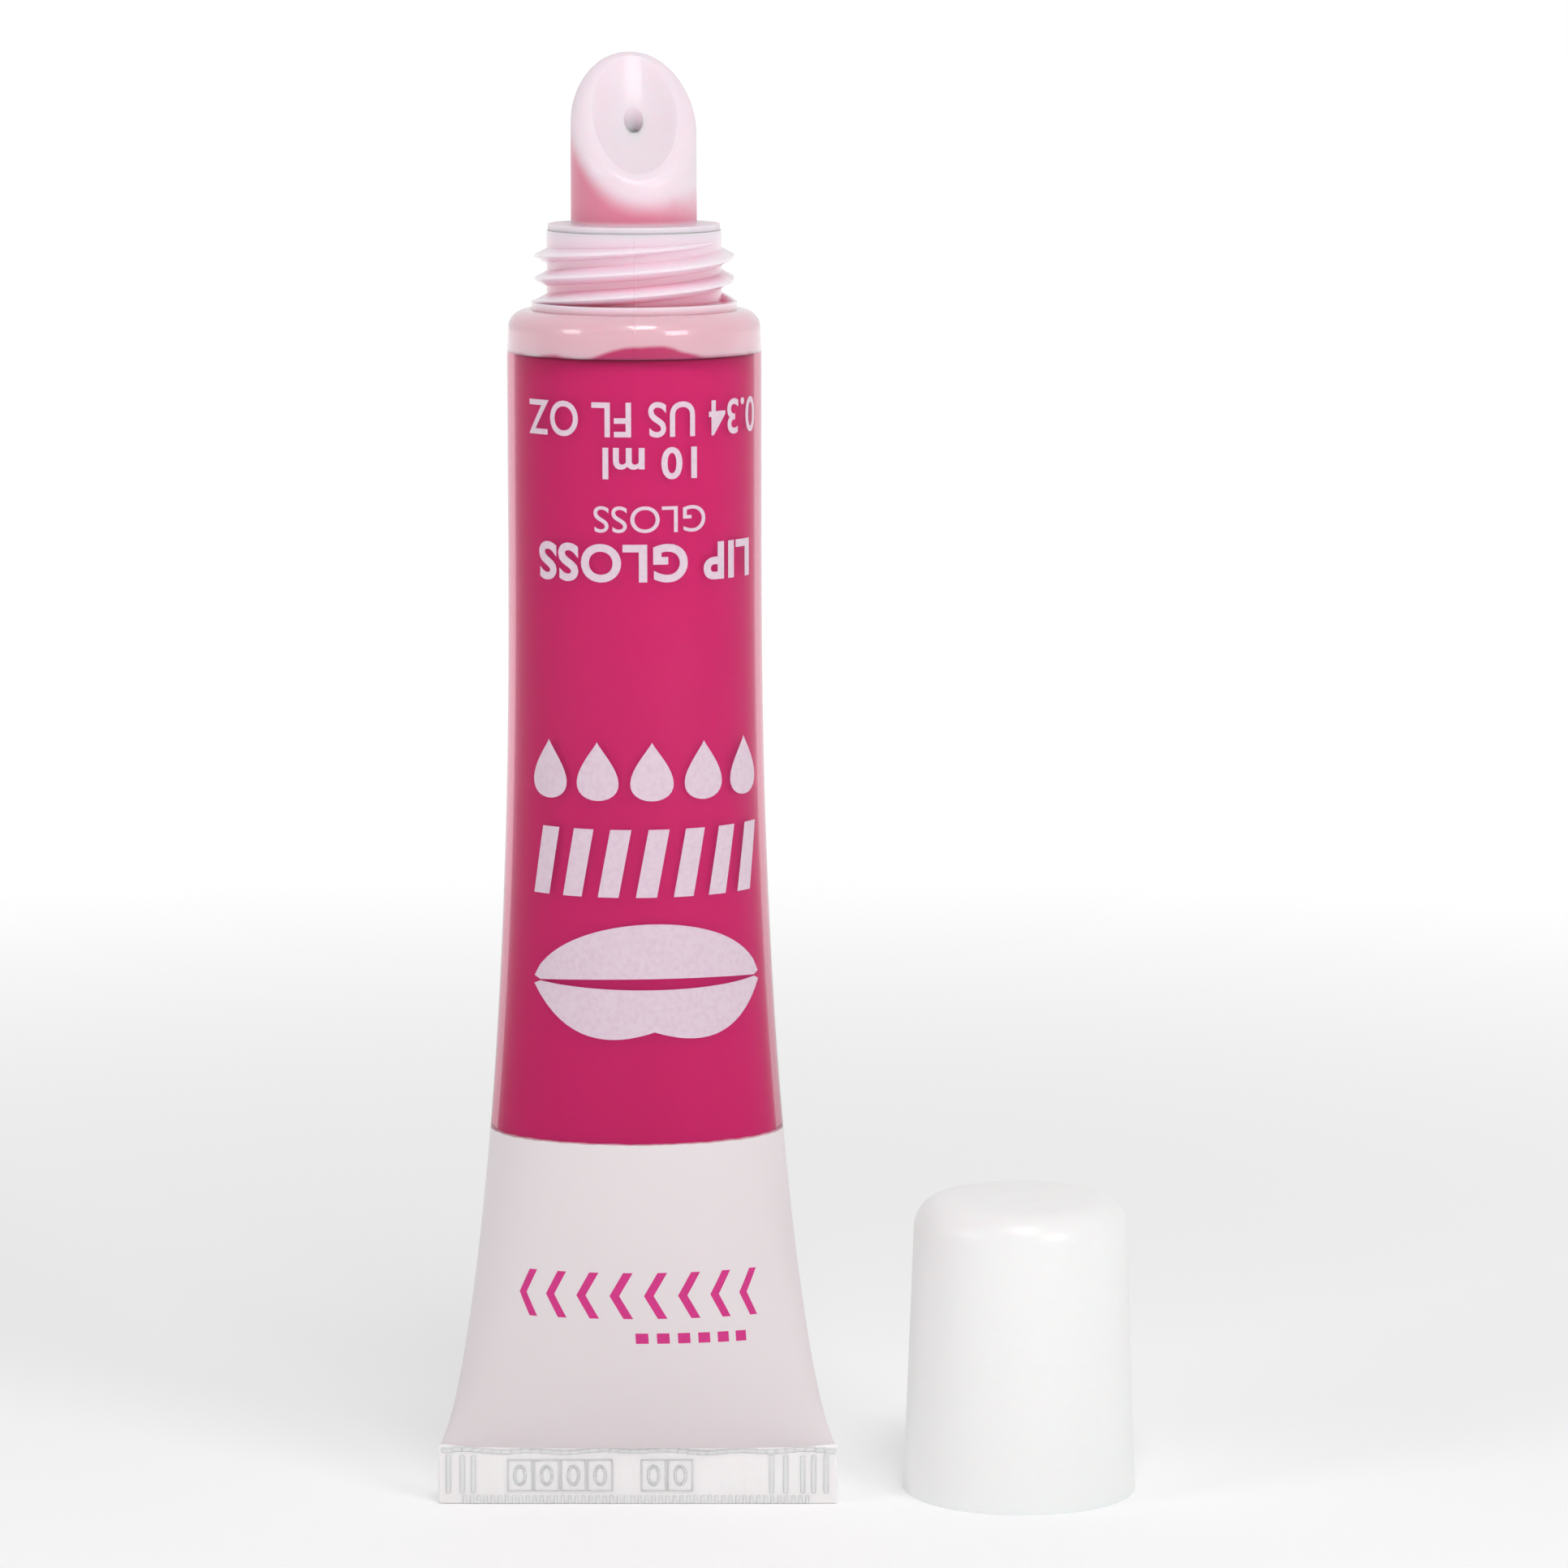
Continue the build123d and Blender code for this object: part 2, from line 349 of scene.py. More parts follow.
def sleeve_size(z):
    """(half width, half depth) of the sleeve's outside at height z, in millimetres."""
    rise = min(1.0, max(0.0, (z - CRIMP_H) / (ROUND_Z - CRIMP_H)))
    depth = FOOT_HALF_DEPTH + (TUBE_R - FOOT_HALF_DEPTH) * (bow(rise) - bow(0)) / (1 - bow(0))
    girth = 2 * pi * TUBE_R * (1 + CRIMP_STRETCH * (1 - rise) ** STRETCH_FADE)
    low, high = girth / 8, girth / 3
    while high - low > GIRTH_CLOSE:
        middle = (low + high) / 2
        low, high = (middle, high) if girth_of(middle, depth) < girth else (low, middle)
    return low, depth


def on_sleeve(turn, z, lift=0.0):
    """A point on the sleeve at this turn from the front (radians), lifted off it by lift."""
    a, b = sleeve_size(z)
    out = Vector((b * sin(turn), -a * cos(turn), 0)).normalized()
    return Vector((a * sin(turn), -b * cos(turn), z)) + out * lift


print("at the weld", [round(v, 2) for v in sleeve_size(CRIMP_H)], "round at", ROUND_Z)

# %% [markdown]
# The film is clear plastic with a pale ink band printed round its lower part. A see-through film
# and an opaque ink are two different surfaces, so they are two shaders mixed by height. The film
# bends light only a little here, which keeps the gloss behind it rich in colour. The ink's edge
# wavers slightly, as printed edges do.

# %% Film and ink
BAND_TOP = 24.76
BAND_EDGE = 0.12           # how soft the edge is, and how much it wavers
INK_BAND = rgb(0.76, 0.69, 0.71)
INK_BAND_CLOUD = rgb(0.80, 0.73, 0.75)
FILM_TINT = rgb(0.66, 0.26, 0.34)


def film_shader():
    shader = Shader("sleeve_film", Base_Color=FILM_TINT, Transmission_Weight=1.0, Roughness=0.05,
                    IOR=1.16, Coat_Weight=0.04, Coat_Roughness=0.05)
    pale = shader.blend(shader.noise(0.09, detail=3.0), INK_BAND, INK_BAND_CLOUD)
    ink = shader.node("ShaderNodeBsdfPrincipled", {}, {"Base Color": pale, "Roughness": 0.42})
    shader.bump(shader.noise(0.7), strength=0.25, depth_mm=0.02, surface=ink.socket.node)
    z = shader.place()[2]
    edge = shader.noise(1.4, detail=1.0) * BAND_EDGE
    band = 1 - (z + edge).rise(BAND_TOP, BAND_TOP + BAND_EDGE)
    clear = Value(shader, shader.surface.outputs[0])
    both = shader.node("ShaderNodeMixShader", {}, {0: band, 1: clear, 2: ink})
    shader.plug(shader.tree.nodes["Material Output"].inputs["Surface"], both)
    return shader


film = film_shader()
film.tell()

# %% [markdown]
# A tube of changing section is a ring pulled down in steps. Each step is an extrude, a move and a
# scale, so every ring is an ellipse of the right width and depth. A loft could do the same, but
# here the rings can be placed one by one: they crowd towards the foot, where the shape turns most.

# %% Rings
RING_SIDES = 144
CROWDING = 1.6


def heights(low, high, count):
    """Heights from high down to low, closer together towards the foot."""
    return [low + (high - low) * (1 - k / count) ** CROWDING for k in range(count + 1)]


def next_ring(bm, ring, grow, up):
    """One more ring: the last one again, moved up and scaled by grow."""
    grown = bmesh.ops.extrude_edge_only(bm, edges=ring)["geom"]
    verts = [g for g in grown if isinstance(g, bmesh.types.BMVert)]
    bmesh.ops.translate(bm, vec=(0, 0, up * MM), verts=verts)
    bmesh.ops.scale(bm, vec=grow, verts=verts)
    return [g for g in grown if isinstance(g, bmesh.types.BMEdge)]


def ringed_tube(levels, size_at):
    """An open tube through a ring at each level, from the top down, and its lowest ring."""
    bm = bmesh.new()
    a, b = size_at(levels[0])
    bmesh.ops.create_circle(bm, segments=RING_SIDES, radius=1.0)
    bmesh.ops.scale(bm, vec=Vector((a, b, 1)) * MM, verts=bm.verts)
    bmesh.ops.translate(bm, vec=(0, 0, levels[0] * MM), verts=bm.verts)
    ring = bm.edges[:]
    for above, here in zip(levels, levels[1:]):
        (a0, b0), (a1, b1) = size_at(above), size_at(here)
        ring = next_ring(bm, ring, (a1 / a0, b1 / b0, 1), here - above)
    return bm, ring


print("three heights of a short tube:", [round(z, 1) for z in heights(0, 10, 2)])

# %% [markdown]
# The sleeve is such a tube from its mouth down to the weld. Solidify then gives the film its real
# thickness. The edge round its mouth is marked sharp, or smooth shading would smear the wall into
# it. A wall with two sides is what makes the pale rims at the tube's edges. It casts no shadow,
# because a render's hard shadow of clear film would darken the gloss inside.

# %% Sleeve
SLEEVE_FOOT = CRIMP_H + 0.15
SLEEVE_LEVELS = 72

bm, _ = ringed_tube(heights(SLEEVE_FOOT, sleeve_top_corner.z, SLEEVE_LEVELS), sleeve_size)
bmesh.ops.recalc_face_normals(bm, faces=bm.faces)
bmesh.ops.solidify(bm, geom=bm.faces[:], thickness=WALL * MM)
sleeve = finished(bm, "sleeve_film", film)
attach(sleeve, "tube")
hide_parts("tube_sleeve")
sleeve.visible_shadow = False

# %% [markdown]
# The weld at the foot is two walls pressed into one band. Pressed film turns whitish and hazy, so
# the band scatters light inside and has fine, upright wrinkles in its surface.

# %% Pressed film
HAZE = rgb(0.88, 0.84, 0.845)
HAZE_CLOUD = rgb(0.95, 0.925, 0.925)
WRINKLES = (1.8, 1, 0.5)   # finer across than up


def crimp_shader():
    shader = Shader("crimp_film", Roughness=0.3, Subsurface_Weight=0.6, IOR=1.4, Coat_Weight=0.5,
                    Coat_Roughness=0.12)
    shader.scatter(radii=(1.0, 0.85, 0.85), scale_mm=0.25)
    shader.colour(shader.blend(shader.noise(0.35, detail=3.0), HAZE, HAZE_CLOUD))
    shader.bump(shader.noise(0.8, detail=4.0, stretch=WRINKLES), strength=0.6, depth_mm=0.1)
    return shader


crimp_paint = crimp_shader()
crimp_paint.tell()

# %% [markdown]
# The heated jaws leave their marks in the weld. All of them are low blocks that stand out of the
# band by the same small height, on its front and its back. One function makes a rounded block, and
# another makes such a mark with it. Blocks that overlap are cheaper than cutting the marks in.

# %% Press marks
CRIMP_CORE_HALF_T = 0.40
RELIEF = 0.06              # how far the press marks stand out of the band
MARK_ROUND = RELIEF * 0.7
NOUGHT_BLOCKS = 24
NOUGHT_W, NOUGHT_H, NOUGHT_LINE = 0.34, 0.60, 0.09
CELL_STEP, CELL_W, CELL_RIM = 1.72, 1.6168, 0.06
CELL_FOOT, CELL_TOP = 0.85, 2.95


def add_block(bm, low, high, bevel, segments=1):
    """A box from low to high, in millimetres, with its edges rounded."""
    made = bmesh.ops.create_cube(bm, size=1.0)["verts"]
    middle = (Vector(low) + Vector(high)) / 2
    bmesh.ops.scale(bm, vec=(Vector(high) - Vector(low)) * MM, verts=made)
    bmesh.ops.translate(bm, vec=middle * MM, verts=made)
    edges = list({e for v in made for e in v.link_edges})
    bmesh.ops.bevel(bm, geom=edges, offset=bevel * MM, affect="EDGES", segments=segments, profile=0.5,
                    material=-1)


def raised(bm, x_low, x_high, z_low, z_high):
    """A low block on the front of the band and the same on its back."""
    reach = CRIMP_CORE_HALF_T + RELIEF
    add_block(bm, (x_low, -reach, z_low), (x_high, reach, z_high), MARK_ROUND)


def add_frame(bm, left):
    """The thin outline of one cell of the date code."""
    right = left + CELL_W
    raised(bm, left, left + CELL_RIM, CELL_FOOT, CELL_TOP)
    raised(bm, right - CELL_RIM, right, CELL_FOOT, CELL_TOP)
    raised(bm, left, right, CELL_FOOT, CELL_FOOT + CELL_RIM)
    raised(bm, left, right, CELL_TOP - CELL_RIM, CELL_TOP)


def add_nought(bm, left):
    """A nought in the middle of a cell, as a ring of short blocks."""
    for k in range(NOUGHT_BLOCKS):
        turn = 2 * pi * k / NOUGHT_BLOCKS
        x = left + CELL_W / 2 + NOUGHT_W * sin(turn)
        z = (CELL_FOOT + CELL_TOP) / 2 + NOUGHT_H * cos(turn)
        raised(bm, x - NOUGHT_LINE, x + NOUGHT_LINE, z - NOUGHT_LINE, z + NOUGHT_LINE)


print("marks stand out by", RELIEF, "mm")

# %% [markdown]
# Now the band itself. It is a little wider than the sleeve above it. It carries a row of fine
# teeth along the bottom, ribs at both ends, a few framed cells where a date would be pressed, and
# a bead of squeezed-out plastic along the top, which sways a little.

# %% Crimp
CRIMP_TOP = 3.9
CRIMP_ROUND = 0.2
TEETH_STEP, TEETH_MARGIN = 0.45, 1.6
TOOTH_W, TOOTH_LOW, TOOTH_HIGH = 0.2, 0.06, 0.56
RIB_W = 0.28
RIB_PLACES = (-12.2, -11.3, -10.6, 8.6, 9.5, 10.6, 11.3, 12.1)
RIB_SPAN = (0.75, 3.2)
CELLS_LEFT = -8.4
CODE = "0000 00"           # plain noughts stand in for the date code
BEAD_Z, BEAD_THICK, BEAD_MARGIN = 3.5, 0.26, 0.25
BEAD_BLOCKS, BEAD_OVERLAP = 40, 1.15
BEAD_WAVES = [(0.07, 0.9, 0.0), (0.05, 0.37, 1.0)]    # height, turn for each block, and start
crimp_half_w = sleeve_top_corner.x


def bead_middle(k):
    """The height of the bead's middle at its block k."""
    return BEAD_Z + sum(high * sin(k * step + start) for high, step, start in BEAD_WAVES)


bm = bmesh.new()
add_block(bm, (-crimp_half_w, -CRIMP_CORE_HALF_T, 0), (crimp_half_w, CRIMP_CORE_HALF_T, CRIMP_TOP),
          CRIMP_ROUND, 3)
teeth = int(2 * (crimp_half_w - TEETH_MARGIN) / TEETH_STEP)
for k in range(teeth):
    left = (k - teeth / 2) * TEETH_STEP
    raised(bm, left, left + TOOTH_W, TOOTH_LOW, TOOTH_HIGH)
for middle in RIB_PLACES:
    raised(bm, middle - RIB_W / 2, middle + RIB_W / 2, *RIB_SPAN)
for k, sign in enumerate(CODE):
    if sign != " ":
        add_frame(bm, CELLS_LEFT + k * CELL_STEP)
        add_nought(bm, CELLS_LEFT + k * CELL_STEP)
bead_step = 2 * (crimp_half_w - BEAD_MARGIN) / BEAD_BLOCKS
for k in range(BEAD_BLOCKS):
    left = BEAD_MARGIN - crimp_half_w + k * bead_step
    middle = bead_middle(k)
    raised(bm, left, left + bead_step * BEAD_OVERLAP, middle - BEAD_THICK / 2, middle + BEAD_THICK / 2)
crimp = finished(bm, "crimp_band", crimp_paint)
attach(crimp, "tube")

# %% [markdown]
# The gloss is a thick liquid with a strong, even colour. Real gloss is slightly see-through, so
# a little light scatters inside it. Its own shine is kept low, because the film in front of it
# already gives the reflections.

# %% Gloss colour
GLOSS_PINK = rgb(0.78, 0.085, 0.47)
GLOSS_PINK_CLOUD = rgb(0.86, 0.10, 0.54)


def gloss_shader():
    shader = Shader("gloss", Roughness=0.25, Specular_IOR_Level=0.1, Subsurface_Weight=0.25)
    shader.scatter(radii=(1.0, 0.25, 0.4), scale_mm=2.0)
    shader.colour(shader.blend(shader.noise(0.06), GLOSS_PINK, GLOSS_PINK_CLOUD))
    return shader


gloss_paint = gloss_shader()
gloss_paint.tell()

# %% [markdown]
# The gloss is one closed form just inside the film. It is made in the same way as the sleeve,
# drawn in by the wall and a thin gap, with a narrower column that rises through the neck into the
# hollow applicator. Two slanted cuts end the column behind the applicator's dish.

# %% Gloss
GLOSS_GAP = 0.025          # the gloss wets the film and covers the head's clear skirt
GLOSS_FOOT = 6.0
GLOSS_TOP = 74.22
GLOSS_LEVELS = 60
COLUMN_R = 3.04
COLUMN_CUTS = [            # a point on each cut and the way that it faces
    ((0, 0, 87.1), (0.16, -1.27, 1.0)),
    ((1.2, 0, 84.2), (0.75, -0.5, 1.0)),
]
column_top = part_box("gloss_fill")[1].z / MM


def gloss_size(z):
    inset = WALL + GLOSS_GAP
    a, b = sleeve_size(z)
    return a - inset, b - inset


def cut_above(bm, at, normal):
    """Takes away what is above a plane and closes the cut."""
    everything = bm.verts[:] + bm.edges[:] + bm.faces[:]
    cut = bmesh.ops.bisect_plane(bm, geom=everything, plane_co=Vector(at) * MM, plane_no=normal,
                                 clear_outer=True)["geom_cut"]
    bmesh.ops.contextual_create(bm, geom=[g for g in cut if isinstance(g, bmesh.types.BMEdge)])


bm, foot_ring = ringed_tube(heights(GLOSS_FOOT, GLOSS_TOP, GLOSS_LEVELS), gloss_size)
top_ring = [e for e in bm.edges if e.is_boundary and e not in set(foot_ring)]
bmesh.ops.contextual_create(bm, geom=foot_ring)
narrower = COLUMN_R / gloss_size(GLOSS_TOP)[0]
top_ring = next_ring(bm, top_ring, (narrower, narrower, 1), 0.0)
top_ring = next_ring(bm, top_ring, (1, 1, 1), column_top - GLOSS_TOP)
bmesh.ops.contextual_create(bm, geom=top_ring)
for at, normal in COLUMN_CUTS:
    cut_above(bm, at, normal)
gloss = finished(bm, "gloss_body", gloss_paint)
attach(gloss, "tube")
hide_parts("gloss_fill")

# %% [markdown]
# The head and the applicator are frosted polyethylene. Light goes in, blurs and comes out again.
# So the material is part clear and part milky, with a thin shiny coat for the moulded skin. Their
# solid shapes are right, so they only need a new material, which `dress` gives them.

# %% Frosted plastic
NECK_HIGH = rgb(0.96, 0.74, 0.83)


def frosted(name, clear, roughness, coat):
    """Milky plastic: part of the light goes straight through, and the rest is scattered inside."""
    shader = Shader(name, Roughness=roughness, IOR=1.4, Transmission_Weight=clear,
                    Subsurface_Weight=1.0, Coat_Weight=coat, Coat_Roughness=0.04)
    shader.scatter(radii=(1.0, 0.7, 0.8), scale_mm=0.8)
    return shader


def dress(node, shader):
    """A solid-model node keeps its shape and gets this material."""
    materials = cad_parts[node].data.materials
    materials.clear()
    materials.append(shader.material)
    shader.tell()


print("the head and the applicator share", NECK_HIGH[:3], "where they meet")

# %% [markdown]
# The gloss behind the head shows as a pink that grows stronger towards the foot of the neck. The
# thread's crests are thicker and further from the gloss, so they stay pale. At the bottom of the
# shoulder the gloss has wetted the inside of the skirt in one low swell. A thin seam runs up the
# front, where the halves of the mould met.

# %% Threaded head
NECK_FOOT, NECK_TOP = 76.9, 81.85
NECK_ROOT = rgb(0.97, 0.44, 0.58)
NECK_CREST = rgb(0.97, 0.78, 0.86)
SHOULDER = rgb(0.81, 0.52, 0.59)
GLOSS_SEEN = rgb(0.58, 0.045, 0.17)
ROOT_R, CREST_R = 5.5, 6.2
SHOULDER_FADE = (NECK_FOOT - 0.1, NECK_FOOT + 0.6)
SWELL_X, SWELL_HIGH, SWELL_FLAT, SWELL_END = 0.8, 0.75, 0.3, 4.0
WET_Z, WET_WAVER = 74.3, 0.6
WET_FADE = (-0.1, 0.25)
SEAM_X, SEAM_LINE, SEAM_END = 0.2, 0.02, 0.1
GRAIN_DEPTH = 0.35         # of the seam's height


def head_shader():
    shader = frosted("frosted_head", clear=0.12, roughness=0.3, coat=0.9)
    x, y, z = shader.place()
    radius = (x * x + y * y).root()
    neck = shader.blend(z.rise(NECK_FOOT, NECK_TOP), NECK_ROOT, NECK_HIGH)
    neck = shader.blend(radius.rise(ROOT_R, CREST_R), neck, NECK_CREST)
    dry = shader.blend(z.rise(*SHOULDER_FADE), SHOULDER, neck)
    swell = 1 - (x - SWELL_X).size().rise(SWELL_FLAT, SWELL_END)
    waver = (shader.noise(0.35) - 0.5) * WET_WAVER
    wet = 1 - (z - swell * SWELL_HIGH - WET_Z - waver).rise(*WET_FADE)
    shader.colour(shader.blend(wet, dry, GLOSS_SEEN))
    seam = 1 - (x - SEAM_X).size().rise(SEAM_LINE, SEAM_END)
    shader.bump(seam + shader.noise(2.5) * GRAIN_DEPTH, strength=0.6, depth_mm=0.05)
    return shader


dress("threaded_head", head_shader())

# %% [markdown]
# The applicator's pink is the gloss in its bore. It ends on a slope behind the dish, so the pink
# fades out in two ways: with height along that slope, and towards the slanted face. The face's
# own direction gives the distance to it. A fine grain makes the plastic look satin.

# %% Applicator
TIP_WHITE = rgb(0.90, 0.78, 0.84)
TIP_PINK = rgb(0.80, 0.27, 0.39)
FLANGE_FADE = (82.2, 82.6)     # the flange on the neck's rim is as pale as the neck's top
FACE_OUT = (0.096, -0.782, 0.616)
FACE_Z = 89.9              # where the face crosses the middle line
FACE_FADE = (-1.4, -0.3)
EDGE_Z, EDGE_ACROSS, EDGE_BACK = 85.9, -0.5, 0.35
EDGE_WAVER = 1.2
EDGE_FADE = (-1.4, 1.2)


def tip_shader():
    shader = frosted("frosted_tip", clear=0.15, roughness=0.42, coat=0.25)
    x, y, z = shader.place()
    waver = (shader.noise(0.5) - 0.5) * EDGE_WAVER
    level = x * EDGE_ACROSS + y * EDGE_BACK + EDGE_Z + waver
    before_face = x * FACE_OUT[0] + y * FACE_OUT[1] + (z - FACE_Z) * FACE_OUT[2]
    wet = (1 - (z - level).rise(*EDGE_FADE)) * (1 - before_face.rise(*FACE_FADE))
    barrel = shader.blend(wet, TIP_WHITE, TIP_PINK)
    shader.colour(shader.blend(z.rise(*FLANGE_FADE), NECK_HIGH, barrel))
    shader.bump(shader.noise(7.0), strength=0.5, depth_mm=0.03)
    return shader


dress("applicator_tip", tip_shader())

# %% [markdown]
# The print is a thin layer of ink on the film. Each mark starts flat: text comes from a font curve
# made into a mesh, and other marks from a few corners. It is brought to its size and cut into
# narrow strips, because only a mesh with enough points can bend.

# %% Flat marks
FONT_STEPS = 6
BOLD_SPACING = 2.2         # bolder letters need more room between them
SAME_POINT = 1e-5
STRIP = 0.4


def flat_text(words, bold):
    """A flat mesh of the words, one unit high or so, lying in the plane of X and Y."""
    curve = bpy.data.curves.new(words, "FONT")
    curve.body, curve.offset, curve.resolution_u = words, bold, FONT_STEPS
    curve.space_character = 1 + BOLD_SPACING * bold
    holder = bpy.data.objects.new(words, curve)
    bpy.context.scene.collection.objects.link(holder)
    bm = bmesh.new()
    bm.from_mesh(holder.evaluated_get(bpy.context.evaluated_depsgraph_get()).to_mesh())
    bpy.data.objects.remove(holder)
    bmesh.ops.remove_doubles(bm, verts=bm.verts, dist=SAME_POINT)
    return bm


def flat_shapes(outlines):
    """A flat mesh with one face for each outline of (across, up) corners."""
    bm = bmesh.new()
    for corners in outlines:
        bm.faces.new([bm.verts.new((u, v, 0)) for u, v in corners])
    return bm


def fit(bm, width, height):
    """Scales a flat mesh to this width and height and centres it."""
    low = [min(v.co[k] for v in bm.verts) for k in (0, 1)]
    high = [max(v.co[k] for v in bm.verts) for k in (0, 1)]
    bmesh.ops.translate(bm, vec=(-(low[0] + high[0]) / 2, -(low[1] + high[1]) / 2, 0), verts=bm.verts)
    bmesh.ops.scale(bm, vec=(width / (high[0] - low[0]), height / (high[1] - low[1]), 1), verts=bm.verts)


def strips(bm, width):
    """Cuts a flat mesh into narrow upright strips."""
    bmesh.ops.triangulate(bm, faces=bm.faces)
    count = int(width / STRIP)
    for k in range(1, count):
        everything = bm.verts[:] + bm.edges[:] + bm.faces[:]
        bmesh.ops.bisect_plane(bm, geom=everything, plane_co=(width * (k / count - 0.5), 0, 0),
                               plane_no=(1, 0, 0))


print("marks are cut into strips of", STRIP, "mm")

# %% [markdown]
# The strips are then laid round the sleeve: how far a point is across becomes a turn round the
# tube, and how far it is up becomes a height. The tube stands on its foot but is read with its cap
# down, so every mark is turned upside down. Ink is never quite even, so its colour varies in
# small grains.

# %% Print on the sleeve
INK_LIFT = 0.012
INK_THICK = 0.02
INK_GRAIN = (0.35, 0.75)
PRINT_TURN = radians(8.5)


def printed(name, bm, width, z_low, z_high, shader, turn=PRINT_TURN):
    """Lays a flat mesh round the sleeve, upside down, between two heights."""
    fit(bm, width, z_high - z_low)
    strips(bm, width)
    for vert in bm.verts:
        z = (z_low + z_high) / 2 - vert.co.y
        half_width = sleeve_size(z)[0]
        vert.co = on_sleeve(turn - vert.co.x / half_width, z, INK_LIFT) * MM
    piece = finished(bm, name, shader, smooth=False)
    layer = piece.modifiers.new("layer", "SOLIDIFY")
    layer.thickness, layer.offset = INK_THICK * MM, 1.0
    piece.visible_shadow = False
    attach(piece, "tube")


def ink_shader(name, ink, worn):
    shader = Shader(name, Roughness=0.4, Specular_IOR_Level=0.3)
    grain = shader.noise(3.0, detail=3.0)
    shader.colour(shader.blend(grain.rise(*INK_GRAIN), ink, worn))
    shader.bump(grain, strength=0.2, depth_mm=0.01)
    return shader


pale_ink = ink_shader("pale_ink", rgb(0.70, 0.56, 0.65), rgb(0.66, 0.50, 0.60))
pink_ink = ink_shader("pink_ink", rgb(0.66, 0.03, 0.24), rgb(0.60, 0.03, 0.21))
pale_ink.tell()
pink_ink.tell()

# %% [markdown]
# Only words that every such tube carries are kept: what it is and how much it holds. Bold letters
# are the same font with its outline pushed out a little.

# %% Words
WORDS = [                  # name, words, boldness, width, lowest and highest point
    ("print_ounces", "0.34 US FL OZ", 0.012, 17.2, 69.5, 71.7),
    ("print_millilitres", "10 ml", 0.02, 6.0, 66.9, 68.9),
    ("print_kind_small", "GLOSS", 0.0, 7.2, 63.6, 65.25),
    ("print_kind_bold", "LIP GLOSS", 0.03, 15.4, 60.5, 62.9),
]
for name, words, bold, width, z_low, z_high in WORDS:
    printed(name, flat_text(words, bold), width, z_low, z_high, pale_ink)

# %% [markdown]
# The name of the product is replaced with a pattern as bold as its letters: a row of drops, a row
# of slanted bars and a pair of lips. Each outline is worked out from one formula, in units of its
# own, because `fit` brings every row to the same width later.

# %% Pattern
PATTERN_WIDTH = 16.6
CURVE_STEPS = 16
DROPS, DROP_STEP, DROP_HALF_W, DROP_HALF_H, DROP_POINTED = 5, 1.12, 0.62, 0.65, 1.4
BARS, BAR_W, BAR_LEAN = 7, 0.55, 0.35
LIP_HALF_W, LIP_FULL, LIP_APART, MOUTH_BOW = 1.15, 0.5, 0.035, 0.05
UPPER_DIP, UPPER_PEAKS, LOWER_ROUND = 0.78, 0.75, 0.75


def drop(across):
    """A round drop that narrows to a point at its top."""
    points = []
    for k in range(2 * CURVE_STEPS):
        turn = pi * (k / CURVE_STEPS - 1)
        narrowing = abs(sin(turn / 2)) ** DROP_POINTED
        points.append((across + DROP_HALF_W * sin(turn) * narrowing, -DROP_HALF_H * cos(turn)))
    return points[::-1]


def bar(across, width, lean):
    return [(across, 0), (across + width, 0), (across + width + lean, 1), (across + lean, 1)]


def lip(sign):
    """Half of a pair of lips: the upper one dips in its middle, and the lower one is full."""
    outer, inner = [], []
    for k in range(2 * CURVE_STEPS + 1):
        u = k / CURVE_STEPS - 1
        rest = 1 - u * u
        full = rest * (UPPER_DIP + UPPER_PEAKS * abs(u)) if sign > 0 else rest ** LOWER_ROUND
        outer.append((u * LIP_HALF_W, sign * (full * LIP_FULL + LIP_APART)))
        inner.append((u * LIP_HALF_W, sign * MOUTH_BOW * rest))
    return outer + inner[::-1][1:-1]


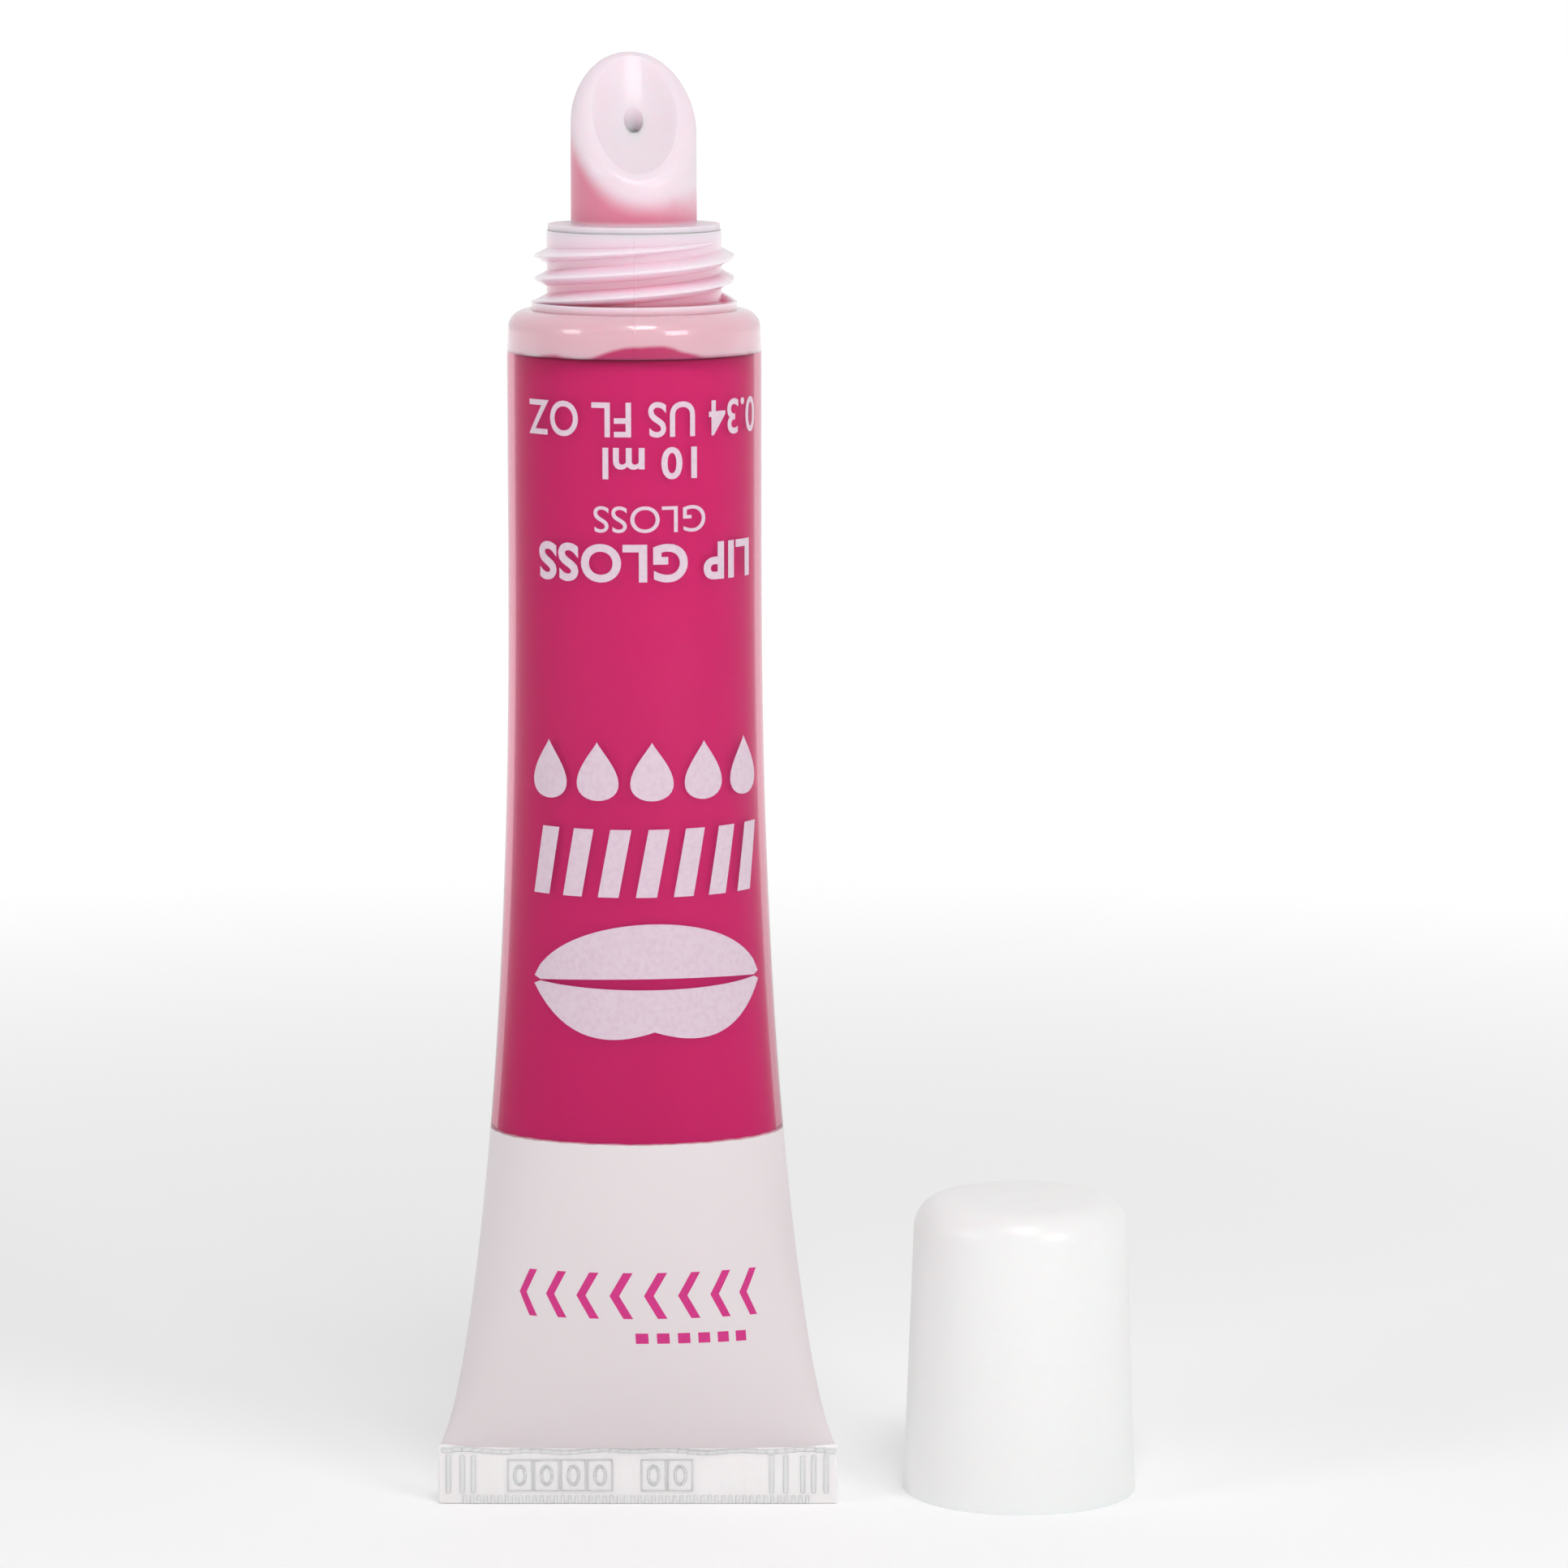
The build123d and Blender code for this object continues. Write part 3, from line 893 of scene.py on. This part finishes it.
PATTERN = [                # name, outlines, lowest and highest point
    ("print_drops", [drop(k * DROP_STEP) for k in range(DROPS)], 46.8, 50.5),
    ("print_bars", [bar(k, BAR_W, BAR_LEAN) for k in range(BARS)], 40.7, 45.0),
    ("print_lips", [lip(1), lip(-1)], 31.6, 39.0),
]
for name, outlines, z_low, z_high in PATTERN:
    printed(name, flat_shapes(outlines), PATTERN_WIDTH, z_low, z_high, pale_ink)

# %% [markdown]
# The band at the foot carries two rows in pink. Here they are chevrons and a dashed line, as wide
# and as heavy as the rows they stand for. The dashes sit under the right end of the chevrons.

# %% Rows on the band
CHEVRONS, CHEVRON_STROKE, CHEVRON_POINT = 8, 0.28, 0.4
DASHES, DASH_W = 6, 0.6


def chevron(across):
    stroke, point = across + CHEVRON_STROKE, CHEVRON_POINT
    return [(across, 0), (stroke, 0), (stroke + point, 0.5), (stroke, 1), (across, 1),
            (across + point, 0.5)]


ROWS = [                   # name, outlines, width, lowest and highest point, turn in degrees
    ("print_chevrons", [chevron(k) for k in range(CHEVRONS)], 16.8, 13.2, 16.3, 1.0),
    ("print_dashes", [bar(k, DASH_W, 0.0) for k in range(DASHES)], 7.6, 11.5, 12.2, 20.0),
]
for name, outlines, width, z_low, z_high, turn in ROWS:
    printed(name, flat_shapes(outlines), width, z_low, z_high, pink_ink, radians(turn))

# %% [markdown]
# The cap is plain white plastic with a satin skin. Its shape does most of the work, so the
# material only needs a fine moulded grain that breaks up the reflections a little.

# %% Cap
CAP_WHITE = rgb(0.91, 0.91, 0.91)
CAP_WHITE_CLOUD = rgb(0.935, 0.935, 0.935)


def cap_shader():
    shader = Shader("cap_plastic", Roughness=0.32, Subsurface_Weight=0.15, Subsurface_Scale=1.0 * MM)
    shader.colour(shader.blend(shader.noise(0.08), CAP_WHITE, CAP_WHITE_CLOUD))
    shader.bump(shader.noise(3.0), strength=0.15, depth_mm=0.01)
    return shader


dress("screw_cap", cap_shader())

# %% [markdown]
